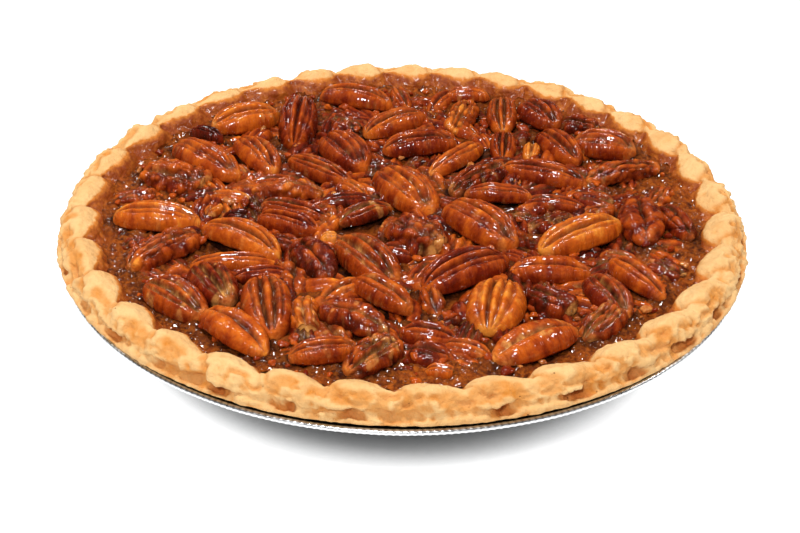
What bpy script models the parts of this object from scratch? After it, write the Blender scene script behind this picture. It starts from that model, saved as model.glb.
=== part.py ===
"""Pecan pie in its foil tin, uncut, standing on the tin's flat base.

Origin: bottom centre of the tin. +Z up. Sizes are millimetres, turned into metres by MM.
"""

import math
import random

import bmesh
import bpy
from mathutils import Vector
from mathutils.bvhtree import BVHTree

MM = 0.001
GAP = 0.3  # clearance between pieces that touch
SIDES = 66  # sides of every turned piece

# Foil tin: a shallow pressed cup with a flange and a rolled lip
FOIL = 0.5  # thickness of the foil wall
TIN_BASE_R = 77.0
TIN_WALL_R = 104.0  # where the sloping wall meets the flange
TIN_WALL_Z = 28.2
LIP_R = 113.0  # centre line of the rolled lip
LIP_Z = 30.8
LIP_BEAD = 1.2
LIP_SIDES = 6

# Crust: a cup with a crimped rim that stands over the lip
CRUST_R = 115.0
CRUST_BASE = 4.0  # thickness under the filling
FLUTES = 33
FIRST_CUSP = 193.3  # angle of one notch, counter-clockwise from +X
FLUTE_DRIFT = (1.06, 1.32)  # sine and cosine of the slow unevenness of the pitch, degrees
PHASES = (0.0, 0.14, 0.42, 0.72)  # steps from one notch to the next
LOBE_SPREAD = 0.14  # how much one lobe's swell differs from the next

# Filling and nuts
FILL_R = 99.2
FILL_TOP = 35.2
NUT_REACH = 97.3  # no nut lies further out than this
NUT_STATIONS = (-0.88, -0.5, 0.0, 0.5, 0.88)

# Cross-sections of a nut as fractions of half its width and of its height, from edge to edge
BACK_UP = ((-1.0, 0.0), (-0.74, 0.68), (-0.36, 0.66), (0.0, 1.0), (0.36, 0.66), (0.74, 0.68), (1.0, 0.0))
FACE_UP = ((-1.0, 0.0), (-0.82, 0.74), (-0.34, 0.92), (0.0, 0.62), (0.34, 0.92), (0.82, 0.74), (1.0, 0.0))

# Colours: base colour (linear), roughness, metallic
FINISHES = {
    "foil": ((0.80, 0.81, 0.83), 0.25, 1.0),
    "crust": ((0.60, 0.36, 0.17), 0.75, 0.0),
    "filling": ((0.13, 0.035, 0.010), 0.25, 0.0),
    "orange": ((0.42, 0.13, 0.025), 0.30, 0.0),
    "brown": ((0.26, 0.085, 0.022), 0.35, 0.0),
    "mahogany": ((0.12, 0.022, 0.010), 0.25, 0.0),
    "tan": ((0.45, 0.23, 0.09), 0.50, 0.0),
}

# Each nut: x, y, turn of its long axis, length, width, kind, tone, rise of its far end
NUTS = (
    (-82, -10.5, -5, 30, 15, "back", "orange", 0),
    (-52, -22.5, -36, 33, 13.5, "back", "orange", 0),
    (-79, -32, 48, 29, 12, "broken", "brown", 0),
    (-58, -50.5, -60, 25, 14, "back", "mahogany", 0),
    (-70, -60, -42, 27, 14, "back", "brown", 0),
    (-40.5, -62, -80, 32, 16, "back", "orange", 0),
    (-29, -66, -85, 20, 9, "broken", "tan", 0),
    (-49, -75.5, -46, 29, 14, "face", "brown", 0),
    (-15, -67.5, -30, 25, 12, "face", "brown", 0),
    (-6, -55, -45, 25, 11.5, "back", "brown", 0),
    (-22, -85, 12, 21, 10, "back", "mahogany", 0),
    (-9, -89, 45, 20, 11, "broken", "orange", 0),
    (-11, -35, -55, 32, 16, "back", "brown", 0),
    (-38, -12.5, -25, 24, 11, "back", "mahogany", 0),
    (-36.5, -4, -25, 27, 8.5, "back", "brown", 0),
    (-13, -5.5, 30, 19, 8.5, "back", "brown", 0),
    (-28, -35.5, -60, 23, 13, "back", "mahogany", 0),
    (26, -11.5, -50, 33, 17.5, "back", "brown", 0),
    (20, -40.5, 35, 33, 16, "back", "mahogany", 0),
    (46.5, -41, 0, 26, 12, "face", "brown", 0),
    (59, -18, 33, 34, 15, "back", "orange", 0),
    (28.5, -60.5, 78, 28, 18, "back", "orange", 0),
    (43.5, -57.5, -40, 17, 11, "broken", "mahogany", 0),
    (63, -54.5, -68, 23, 13, "back", "mahogany", 0),
    (73, -44, -58, 26, 10.5, "back", "mahogany", 0),
    (80, -7.5, 88, 29, 15, "face", "brown", 0),
    (91, -8.5, -70, 22, 9.5, "back", "mahogany", 0),
    (39, -79.5, 33, 30, 15, "face", "brown", 0),
    (59, -68.5, 50, 19, 10.5, "broken", "mahogany", 0),
    (3, -19, -45, 22, 16, "broken", "orange", 0),
    (-40, 63, 87, 32, 15, "back", "mahogany", 5),
    (-61, 66.5, 25, 28, 17, "back", "brown", 0),
    (-76, 54, -30, 15, 7, "back", "mahogany", 0),
    (-71, 32.5, -45, 35, 16, "back", "brown", 0),
    (-53, 36.5, -60, 29, 14, "back", "brown", 0),
    (-84, 20, -20, 26, 15.5, "broken", "orange", 0),
    (-30, 26, -40, 31, 10.5, "back", "brown", 0),
    (-21, 39.5, -60, 28, 17, "back", "brown", 0),
    (-40, 10.5, 0, 26, 10.5, "face", "tan", 0),
    (-19, 87, -15, 30, 15, "back", "brown", 0),
    (-3, 63.5, 35, 28, 14, "back", "brown", 0),
    (6, 46, 12, 28, 14, "back", "mahogany", 0),
    (20, 36, 52, 32, 9.5, "back", "brown", 0),
    (50, 24, -22, 32, 12.5, "back", "mahogany", 0),
    (81, 27.5, 18, 29, 9.5, "back", "brown", 0),
    (77, 48, -20, 24, 16, "back", "mahogany", 0),
    (57.5, 46, -65, 27, 13, "back", "mahogany", 0),
    (37, 46.5, 85, 21, 10, "back", "brown", 0),
    (26, 19.5, 42, 26, 12, "broken", "brown", 0),
    (33, 9, -5, 24, 8.5, "back", "mahogany", 0),
    (1, 11, -60, 35, 18, "back", "brown", 0),
    (22.5, 72, 75, 27, 11.5, "back", "orange", 0),
    (38, 73.5, 88, 27, 12, "back", "brown", 0),
    (56, 76.5, -60, 22, 16, "back", "mahogany", 0),
    (26, 92, 0, 18, 8, "back", "mahogany", 0),
    (70, 68.5, -30, 16, 10, "broken", "mahogany", 0),
)


def clear_scene():
    for thing in list(bpy.data.objects):
        bpy.data.objects.remove(thing, do_unlink=True)


def finish_for(tone):
    """The material of this name, made once."""
    if tone in bpy.data.materials:
        return bpy.data.materials[tone]
    colour, roughness, metallic = FINISHES[tone]
    material = bpy.data.materials.new(tone)
    material.use_nodes = True
    shader = material.node_tree.nodes["Principled BSDF"]
    shader.inputs["Base Color"].default_value = (*colour, 1.0)
    shader.inputs["Roughness"].default_value = roughness
    shader.inputs["Metallic"].default_value = metallic
    material.diffuse_color = (*colour, 1.0)
    return material


def around(radius, height, degrees):
    """A point at this radius and height, in metres."""
    turn = math.radians(degrees)
    return Vector((radius * math.cos(turn), radius * math.sin(turn), height)) * MM


def bridge(mesh, lower, upper):
    """Faces between two closed rings: of equal counts, of one point, or of half the points."""
    if len(lower) > len(upper):
        lower, upper = upper, lower
    few, many = len(lower), len(upper)
    for i in range(many if few == 1 else few):
        if few == 1:
            mesh.faces.new((lower[0], upper[i], upper[(i + 1) % many]))
        elif few == many:
            j = (i + 1) % few
            mesh.faces.new((lower[i], lower[j], upper[j], upper[i]))
        else:
            middle = upper[2 * i + 1]
            mesh.faces.new((lower[i], upper[2 * i], middle))
            mesh.faces.new((lower[i], middle, lower[(i + 1) % few]))
            mesh.faces.new((lower[(i + 1) % few], middle, upper[(2 * i + 2) % many]))


def body_of_rings(name, rings, tone):
    """One closed body through these rings of points, first and last ring closing it."""
    mesh = bmesh.new()
    loops = [[mesh.verts.new(point) for point in ring] for ring in rings]
    for lower, upper in zip(loops, loops[1:]):
        bridge(mesh, lower, upper)
    for loop in (loops[0], loops[-1]):
        if len(loop) > 1:
            mesh.faces.new(loop)
    bmesh.ops.recalc_face_normals(mesh, faces=mesh.faces)
    data = bpy.data.meshes.new(name)
    mesh.to_mesh(data)
    mesh.free()
    data.materials.append(finish_for(tone))
    body = bpy.data.objects.new(name, data)
    bpy.context.collection.objects.link(body)
    return body


def smooth(body, sharp_over):
    body.data.shade_smooth()
    body.data.set_sharp_from_angle(angle=math.radians(sharp_over))


def turned(name, profile, tone):
    """A body turned from (radius, height) points that start and end on the axis."""
    rings = []
    for radius, height in profile:
        steps = SIDES if radius > 0 else 1
        rings.append([around(radius, height, 360 * i / steps) for i in range(steps)])
    return body_of_rings(name, rings, tone)


def make_tin():
    """Pressed foil cup: flat base, sloping wall, flange, and a lip rolled over its edge."""
    rolled = []
    for i in range(LIP_SIDES):
        turn = math.radians(-120 + 300 * i / (LIP_SIDES - 1))
        rolled.append((LIP_R + LIP_BEAD * math.cos(turn), LIP_Z + LIP_BEAD * math.sin(turn)))
    outside = [(0, 0), (TIN_BASE_R, 0), (TIN_WALL_R, TIN_WALL_Z)]
    inside = [(TIN_WALL_R - FOIL, TIN_WALL_Z + FOIL), (TIN_BASE_R - FOIL, FOIL), (0, FOIL)]
    tin = turned("pie_tin", outside + rolled + inside, "foil")
    smooth(tin, 40)


def cusp(flute):
    """Angle of the notch before this flute, in degrees."""
    share = 2 * math.pi * flute / FLUTES
    drift = FLUTE_DRIFT[0] * math.sin(2 * share) + FLUTE_DRIFT[1] * math.cos(2 * share)
    return FIRST_CUSP + math.degrees(share) + drift


def swell(phase):
    """Height of a lobe: up fast after its notch, then slowly down under the next lobe."""
    return math.sin(math.pi * phase**0.72)


def rim_ring(radius, height, radius_swell, height_swell, lobes, skew=0.0):
    """A ring of the crimped rim, whose points swell from notch to lobe."""
    ring = []
    for flute in range(FLUTES):
        start, end = cusp(flute), cusp(flute + 1)
        for phase in PHASES:
            lift = swell(phase) * lobes[flute]
            degrees = start + (end - start) * phase + skew
            ring.append(around(radius + radius_swell * lift, height + height_swell * lift, degrees))
    return ring


def cup_ring(radius, height):
    """A plain ring of the cup, with half the rim's points and in line with them."""
    return rim_ring(radius, height, 0, 0, [1.0] * FLUTES)[::2]


def make_crust():
    """Pastry cup, crimped into overlapping lobes above a band that hides the tin's flange."""
    spread = random.Random(33)
    lobes = [1 + spread.uniform(-LOBE_SPREAD, LOBE_SPREAD) for _ in range(FLUTES)]
    seat = FOIL + GAP  # the pastry starts this far above the table
    rings = [
        [around(0, seat, 0)],
        cup_ring(TIN_BASE_R - 1.4, seat),
        cup_ring(TIN_WALL_R - 1.1, TIN_WALL_Z + 0.6),
        cup_ring(LIP_R - 1.6, LIP_Z + LIP_BEAD + 0.4),
        rim_ring(CRUST_R - 1.0, LIP_Z + LIP_BEAD + 0.7, 0, 0, lobes),
        rim_ring(CRUST_R, 33.9, 0, 0, lobes),
        rim_ring(CRUST_R - 0.3, 35.6, -0.3, -0.3, lobes, 0.8),
        rim_ring(112.8, 36.4, -1.8, 0.0, lobes, 0.8),
        rim_ring(111.8, 38.0, 0.6, 0.5, lobes, 0.4),
        rim_ring(110.0, 38.9, 0.3, 1.9, lobes, 0.2),
        rim_ring(107.8, 39.3, -0.3, 2.3, lobes),
        rim_ring(106.2, 39.1, -2.9, 0.6, lobes),
        rim_ring(105.4, 38.4, -4.3, -0.2, lobes),
        rim_ring(103.2, 36.8, -3.0, -0.3, lobes),
        cup_ring(FILL_R + 0.6, FILL_TOP - 0.6),
        cup_ring(TIN_BASE_R - 1.4 - CRUST_BASE, seat + CRUST_BASE),
        [around(0, seat + CRUST_BASE, 0)],
    ]
    crust = body_of_rings("crust", rings, "crust")
    smooth(crust, 50)


def make_filling():
    """Set syrup filling, from the cup's floor up to a level top with a rounded edge."""
    floor = FOIL + GAP + CRUST_BASE + GAP
    floor_r = TIN_BASE_R - 1.4 - CRUST_BASE - 0.6
    profile = ((0, floor), (floor_r, floor), (FILL_R, FILL_TOP - 0.9), (FILL_R - 1.6, FILL_TOP), (0, FILL_TOP))
    filling = turned("filling", profile, "filling")
    smooth(filling, 40)


def nut_height(width):
    return 2.6 + 0.32 * width


def nut_rings(length, width, height, kind, rise):
    """Rings of a pecan half lying along X on Z 0, blunt at one end where it is broken."""
    section = FACE_UP if kind == "face" else BACK_UP
    rings = [[Vector((-length / 2, 0, 0.22 * height))]]
    for station in NUT_STATIONS:
        if kind == "broken" and station == NUT_STATIONS[-1]:
            continue
        half = width / 2 * (1 - station**2) ** 0.42
        tall = height * (1 - station**2) ** 0.38 + rise * (station + 1) / 2
        rings.append([Vector((station * length / 2, half * y, tall * z)) for y, z in section])
    if kind == "broken":
        end = [Vector((p.x + 0.28 * length + 0.1 * p.y, p.y * 0.8, p.z * 0.8)) for p in rings[-1]]
        rings.append(end)
    else:
        rings.append([Vector((length / 2, 0, 0.22 * height + rise))])
    return rings


def pulled_in(nut):
    """The nut, moved towards the centre until it clears the crust."""
    x, y, turn, length, width = nut[:5]
    lean = math.radians(turn) - math.atan2(y, x)
    reach = math.hypot(length * math.cos(lean), width * math.sin(lean)) / 2
    pull = min(1.0, (NUT_REACH - reach) / math.hypot(x, y))
    return (x * pull, y * pull, *nut[2:])


def place_nut(name, nut, grow=0.0):
    """A nut in its place, larger all round by grow."""
    x, y, turn, length, width, kind, tone, rise = nut
    angle = math.radians(turn)
    rings = nut_rings(length, width, nut_height(width), kind, rise)
    placed = []
    for ring in rings:
        points = []
        for p in ring:
            across = x + p.x * math.cos(angle) - p.y * math.sin(angle)
            along = y + p.x * math.sin(angle) + p.y * math.cos(angle)
            points.append(Vector((across, along, FILL_TOP + GAP + p.z)) * MM)
        placed.append(points)
    body = body_of_rings(name, placed, tone)
    outward = [vertex.normal.copy() for vertex in body.data.vertices]
    for vertex, normal in zip(body.data.vertices, outward):
        vertex.co += normal * grow * MM
    return body


def surface_of(body):
    points = [v.co for v in body.data.vertices]
    return BVHTree.FromPolygons(points, [tuple(p.vertices) for p in body.data.polygons])


def keep_largest(body):
    """Drops the loose crumbs that a cut leaves beside the nut."""
    mesh = bmesh.new()
    mesh.from_mesh(body.data)
    left = set(mesh.faces)
    islands = []
    while left:
        island, edge = set(), [left.pop()]
        while edge:
            face = edge.pop()
            island.add(face)
            near = {other for side in face.edges for other in side.link_faces}
            edge += [other for other in near if other in left]
            left -= near
        islands.append(island)
    islands.sort(key=lambda island: sum(face.calc_area() for face in island))
    for island in islands[:-1]:
        bmesh.ops.delete(mesh, geom=list(island), context="FACES")
    mesh.to_mesh(body.data)
    mesh.free()


def cut_clear(body, cutter):
    """Cuts the grown neighbour out of a nut that it lies against."""
    cut = body.modifiers.new("clearance", "BOOLEAN")
    cut.operation = "DIFFERENCE"
    cut.solver = "EXACT"
    cut.object = cutter
    with bpy.context.temp_override(object=body, active_object=body):
        bpy.ops.object.modifier_apply(modifier=cut.name)
    keep_largest(body)


def make_nuts():
    """Every nut in turn, each cut back where an earlier one presses on it."""
    made = []
    for number, nut in enumerate(map(pulled_in, NUTS), 1):
        body = place_nut(f"pecan_{number:02d}", nut)
        for earlier in made:
            near = math.dist(earlier[:2], nut[:2]) < (earlier[3] + nut[3]) / 2 + 1
            if not near:
                continue
            cutter = place_nut("neighbour", earlier, 1.3 * GAP)
            if surface_of(body).overlap(surface_of(cutter)):
                cut_clear(body, cutter)
            bpy.data.objects.remove(cutter, do_unlink=True)
        made.append(nut)
        smooth(body, 60)


clear_scene()
make_tin()
make_crust()
make_filling()
make_nuts()
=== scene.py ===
import math
import random

import bpy
import numpy as np
from mathutils import Euler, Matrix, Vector, noise


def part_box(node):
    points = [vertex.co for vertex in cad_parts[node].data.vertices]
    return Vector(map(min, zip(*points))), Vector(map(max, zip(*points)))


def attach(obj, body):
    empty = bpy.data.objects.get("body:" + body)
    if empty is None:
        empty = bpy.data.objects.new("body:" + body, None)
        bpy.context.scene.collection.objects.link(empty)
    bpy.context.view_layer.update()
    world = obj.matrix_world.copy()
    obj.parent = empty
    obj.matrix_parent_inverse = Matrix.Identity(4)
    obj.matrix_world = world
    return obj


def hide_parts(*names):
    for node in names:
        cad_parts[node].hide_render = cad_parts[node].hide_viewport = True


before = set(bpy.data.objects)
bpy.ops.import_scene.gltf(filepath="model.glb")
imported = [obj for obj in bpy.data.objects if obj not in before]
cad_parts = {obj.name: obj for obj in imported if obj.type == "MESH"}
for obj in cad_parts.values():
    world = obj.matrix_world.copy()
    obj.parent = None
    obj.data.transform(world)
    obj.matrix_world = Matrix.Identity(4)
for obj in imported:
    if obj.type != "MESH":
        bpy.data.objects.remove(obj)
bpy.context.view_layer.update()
mm = 0.001
fullTurn = 2 * math.pi


def screen(red, green, blue):
    # a colour as seen on a screen, 0 to 255, as the linear colour that shaders take
    values = [v / 255 for v in (red, green, blue)]
    return (*[v / 12.92 if v <= 0.04045 else ((v + 0.055) / 1.055) ** 2.4 for v in values], 1.0)


def smoothStep(low, high, values):
    share = np.clip((values - low) / (high - low), 0, 1)
    return share * share * (3 - 2 * share)


def bell(values, width, power=2):
    # 1 in the middle, falling off over this width to each side
    return np.exp(-(np.abs(values / width) ** power))


def pointsOf(piece, what="co"):
    values = np.empty(len(piece.data.vertices) * 3)
    piece.data.vertices.foreach_get(what, values)
    return values.reshape(-1, 3)


def movePoints(piece, points):
    piece.data.vertices.foreach_set("co", np.asarray(points, float).ravel())
    piece.data.update()


def paint(piece, name, values):
    # a mask on the piece's points that its material reads
    layer = piece.data.attributes.new(name, "FLOAT", "POINT")
    layer.data.foreach_set("value", np.clip(values, 0, 1).astype(np.float32))


def lumps(points, size, octaves=1, seed=0):
    # noise from about -1 to 1, whose lumps are this many mm across
    shift = Vector((3.7, 1.9, -2.3)) * (seed + 1)
    scale = 1 / (size * mm)
    return np.array([noise.fractal(Vector(p) * scale + shift, 1.0, 2.0, octaves) for p in points])


def turnedPiece(name, section, steps):
    # section: (radius, height) in mm from the axis round to the axis again, turned about Z
    bpy.ops.mesh.primitive_circle_add(vertices=len(section), radius=0.01)
    piece = bpy.context.object
    piece.name = piece.data.name = name
    for vertex, (radius, height) in zip(piece.data.vertices, section):
        vertex.co = (radius * mm, 0, height * mm)
    bpy.ops.object.modifier_add(type="SCREW")
    turning = piece.modifiers[-1]
    turning.axis = "Z"
    turning.angle = fullTurn
    turning.steps = turning.render_steps = steps
    turning.use_merge_vertices = True
    turning.merge_threshold = 1e-6
    bpy.ops.object.modifier_apply(modifier=turning.name)
    bpy.ops.object.mode_set(mode="EDIT")
    bpy.ops.mesh.select_all(action="SELECT")
    bpy.ops.mesh.remove_doubles(threshold=1e-6)
    bpy.ops.mesh.delete_loose()
    bpy.ops.mesh.select_all(action="SELECT")
    bpy.ops.mesh.normals_make_consistent()
    bpy.ops.object.mode_set(mode="OBJECT")
    bpy.ops.object.shade_smooth()
    return piece


def aroundAxis(piece, section, steps):
    # for each point: which column and which section point it came from
    points = pointsOf(piece)
    radius = np.hypot(points[:, 0], points[:, 1]) / mm
    degrees = np.degrees(np.arctan2(points[:, 1], points[:, 0])) % 360
    column = np.rint(degrees * steps / 360).astype(int) % steps
    spots = np.array(section)
    station = np.argmin(np.hypot(radius[:, None] - spots[:, 0], points[:, 2:3] / mm - spots[:, 1]), axis=1)
    return column, station


def finishPiece(piece, node, material):
    piece.data.materials.clear()
    piece.data.materials.append(material)
    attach(piece, "root")
    if node:
        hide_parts(node)


def addNode(tree, kind, **settings):
    node = tree.nodes.new(kind)
    for key, value in settings.items():
        setattr(node, key, value)
    return node


def feed(tree, socket, value):
    # value is a number, a colour or another socket
    if isinstance(value, bpy.types.NodeSocket):
        tree.links.new(value, socket)
    else:
        socket.default_value = value


def calculate(tree, operation, first, second, clamp=False):
    node = addNode(tree, "ShaderNodeMath", operation=operation, use_clamp=clamp)
    feed(tree, node.inputs[0], first)
    feed(tree, node.inputs[1], second)
    return node.outputs[0]


def times(tree, first, second, clamp=False):
    return calculate(tree, "MULTIPLY", first, second, clamp)


def plus(tree, first, second, clamp=False):
    return calculate(tree, "ADD", first, second, clamp)


def newGroup(name, inputs, output):
    tree = bpy.data.node_groups.new(name, "ShaderNodeTree")
    for label, default in inputs.items():
        socket = tree.interface.new_socket(label, in_out="INPUT", socket_type="NodeSocketFloat")
        socket.default_value = default
    tree.interface.new_socket(output, in_out="OUTPUT", socket_type="NodeSocketFloat")
    return tree, addNode(tree, "NodeGroupInput"), addNode(tree, "NodeGroupOutput")


def objectTexture(tree, given, kind, sizeName, **settings):
    # a texture on object coordinates whose features are as large as the group's input says, in mm
    texture = addNode(tree, kind, **settings)
    place = addNode(tree, "ShaderNodeTexCoord")
    tree.links.new(place.outputs["Object"], texture.inputs["Vector"])
    tree.links.new(given.outputs["Seed"], texture.inputs["W"])
    tree.links.new(calculate(tree, "DIVIDE", 1000, given.outputs[sizeName]), texture.inputs["Scale"])
    return texture


def mottleGroup():
    # soft patches: 0 to 1 over the surface, Size in mm
    tree, given, result = newGroup("mottle", {"Size": 5.0, "Low": 0.4, "High": 0.6, "Seed": 0.0}, "Mask")
    cloud = objectTexture(tree, given, "ShaderNodeTexNoise", "Size", noise_dimensions="4D")
    cloud.inputs["Detail"].default_value = 4
    cloud.inputs["Roughness"].default_value = 0.6
    spread = addNode(tree, "ShaderNodeMapRange", interpolation_type="SMOOTHSTEP")
    tree.links.new(cloud.outputs["Fac"], spread.inputs["Value"])
    tree.links.new(given.outputs["Low"], spread.inputs["From Min"])
    tree.links.new(given.outputs["High"], spread.inputs["From Max"])
    tree.links.new(spread.outputs["Result"], result.inputs["Mask"])
    return tree


def frecklesGroup():
    # small round spots, Pitch mm apart, Spot as a share of the pitch, in the share Amount of the places
    defaults = {"Pitch": 3.0, "Spot": 0.2, "Amount": 0.5, "Seed": 0.0}
    tree, given, result = newGroup("freckles", defaults, "Mask")
    cells = objectTexture(tree, given, "ShaderNodeTexVoronoi", "Pitch", voronoi_dimensions="4D")
    split = addNode(tree, "ShaderNodeSeparateColor")
    inside = addNode(tree, "ShaderNodeMapRange", interpolation_type="SMOOTHSTEP")
    inside.inputs["To Min"].default_value = 1
    inside.inputs["To Max"].default_value = 0
    tree.links.new(cells.outputs["Color"], split.inputs[0])
    tree.links.new(cells.outputs["Distance"], inside.inputs["Value"])
    tree.links.new(given.outputs["Spot"], inside.inputs["From Max"])
    chosen = calculate(tree, "LESS_THAN", split.outputs[0], given.outputs["Amount"])
    tree.links.new(times(tree, inside.outputs["Result"], chosen), result.inputs["Mask"])
    return tree


def reliefGroup():
    # relief of a baked surface: Fine grain and Coarse lumps, sizes in mm, as one height
    defaults = {"Coarse": 3.0, "Fine": 0.7, "Share": 0.4, "Seed": 0.0}
    tree, given, result = newGroup("relief", defaults, "Height")
    blend = addNode(tree, "ShaderNodeMix", data_type="FLOAT")
    for label, socket in (("Coarse", blend.inputs[2]), ("Fine", blend.inputs[3])):
        cloud = objectTexture(tree, given, "ShaderNodeTexNoise", label, noise_dimensions="4D")
        cloud.inputs["Detail"].default_value = 3
        tree.links.new(cloud.outputs["Fac"], socket)
    tree.links.new(given.outputs["Share"], blend.inputs[0])
    tree.links.new(blend.outputs[0], result.inputs["Height"])
    return tree


groups = {"mottle": mottleGroup(), "freckles": frecklesGroup(), "relief": reliefGroup()}
print("shader groups made")


def useGroup(tree, name, **values):
    node = addNode(tree, "ShaderNodeGroup", node_tree=groups[name])
    for key, value in values.items():
        node.inputs[key].default_value = value
    return node.outputs[0]


def mask(tree, name):
    # a painted mask of the piece
    return addNode(tree, "ShaderNodeAttribute", attribute_name=name).outputs["Fac"]


def blendColour(tree, share, low, high):
    # low and high are colours or sockets, share is a number or a socket
    node = addNode(tree, "ShaderNodeMix", data_type="RGBA")
    feed(tree, node.inputs[0], share)
    feed(tree, node.inputs[6], low)
    feed(tree, node.inputs[7], high)
    return node.outputs[2]


def newMaterial(name, **fixed):
    material = bpy.data.materials.new(name)
    material.use_nodes = True
    tree = material.node_tree
    shader = tree.nodes["Principled BSDF"]
    for key, value in fixed.items():
        shader.inputs[key.replace("_", " ")].default_value = value
    return material, tree, shader


def addBump(tree, shader, height, distance, strength=1.0):
    bump = addNode(tree, "ShaderNodeBump")
    bump.inputs["Distance"].default_value = distance * mm
    bump.inputs["Strength"].default_value = strength
    tree.links.new(height, bump.inputs["Height"])
    tree.links.new(bump.outputs["Normal"], shader.inputs["Normal"])


def setRoughness(tree, shader, share, low, high):
    # from low to high as the share goes from 0 to 1
    spread = addNode(tree, "ShaderNodeMapRange")
    spread.inputs["To Min"].default_value = low
    spread.inputs["To Max"].default_value = high
    tree.links.new(share, spread.inputs["Value"])
    tree.links.new(spread.outputs[0], shader.inputs["Roughness"])


crustLook = {
    "flutes": 33,
    "columns": 36,  # points along each flute
    "firstNotch": 193.3,  # angle of one notch, counter-clockwise from +X
    "drift": (1.06, 1.32),  # sine and cosine of the slow unevenness of the pitch, degrees
    "unevenness": 0.14,  # how much one lobe differs from the next
    "skew": 0.72,  # below 1 a lobe swells soonest after its notch
    "rimPoints": 64,
    # radius, height, and how far a full lobe moves them, in mm, and the lean in degrees
    "rim": (
        (113.4, 33.1, 0.0, 0.0, 0.0), (114.9, 34.0, 0.0, 0.0, 0.0), (114.6, 35.1, -0.2, -0.2, 0.8),
        (113.5, 35.8, -0.6, 0.0, 0.8), (113.0, 37.2, 0.3, 0.4, 0.4), (111.0, 38.8, 0.4, 1.8, 0.2),
        (107.8, 39.4, -0.3, 2.3, 0.0), (106.2, 39.1, -2.9, 0.6, 0.0), (105.4, 38.3, -4.3, -0.1, 0.0),
        (103.2, 36.8, -3.0, -0.3, 0.0), (99.8, 34.7, 0.0, 0.0, 0.0),
    ),
    "cupOutside": ((0.0, 0.8), (55.0, 0.8), (75.6, 0.8), (88.0, 13.5), (102.9, 28.8), (111.2, 32.4)),
    "cupInside": ((88.0, 22.2), (71.6, 4.8), (45.0, 4.8), (0.0, 4.8)),
    "lumps": ((8.0, 0.45), (3.6, 0.45), (1.6, 0.28)),  # size and depth of the unevenness, mm
    "broad": 5.0,  # larger lumps than this get no painted shade in their hollows
    "face": (113.0, 24.0),  # its radius and its length along the section, mm, for the size of a dimple
    # in what follows up runs from 0 at the rim's foot to 1 at its inner end, and along from notch to notch
    "pockets": {"along": 0.42, "shift": 0.07, "up": 0.165, "tall": 0.038, "deep": 1.9},
    "pocketDepths": (0.15, 0.6, 0.9, 1.1, 1.25),
    "lips": {"above": 0.095, "long": 0.2, "tall": 0.04, "out": 0.9},
    "creases": {"slant": 0.55, "end": 0.78, "wide": 0.05, "deep": 0.8},
    "dimples": {"count": 420, "up": (0.14, 0.52), "size": (0.7, 2.3), "deep": (0.4, 1.1)},
    "stain": {"start": 0.86, "left": 0.12, "back": 0.14, "notch": 0.09, "width": 0.16},
    # the hollows share is painted shade; the toast share is browning on the foot and painted shade
    "shares": {"patches": 0.26, "grains": 0.22, "hollows": 0.6, "toastAndShadeShare": 0.82, "specks": 0.8},
    "gloss": 0.3,
    "roughness": (0.72, 0.3),  # dry and stained
    "cream": (222, 180, 122),
    "gold": (200, 126, 48),
    "toastAndShade": (172, 92, 34),
    "caramel": (206, 124, 44),
    "thinSyrup": (180, 98, 34),
    "syrup": (134, 58, 16),
    "speck": (120, 72, 32),
}


def notchAngle(flute):
    share = fullTurn * flute / crustLook["flutes"]
    slow = crustLook["drift"][0] * np.sin(2 * share) + crustLook["drift"][1] * np.cos(2 * share)
    return crustLook["firstNotch"] + np.degrees(share) + slow


def rimStations(count):
    # the rim's section drawn as a smooth curve through its knots, at even steps of its length
    knots = np.array(crustLook["rim"])
    middle = knots[:, :2] + 0.6 * knots[:, 2:4]
    along = np.concatenate([[0], np.cumsum(np.hypot(*np.diff(middle, axis=0).T))])
    slopes = np.gradient(knots, along, axis=0)
    places = np.linspace(0, along[-1], count)
    i = np.minimum(np.searchsorted(along, places, side="right") - 1, len(along) - 2)
    step = (along[i + 1] - along[i])[:, None]
    t = (places - along[i])[:, None] / step
    rows = (2 * t**3 - 3 * t**2 + 1) * knots[i] + (t**3 - 2 * t**2 + t) * step * slopes[i]
    rows += (3 * t**2 - 2 * t**3) * knots[i + 1] + (t**3 - t**2) * step * slopes[i + 1]
    return rows, places / along[-1]


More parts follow.
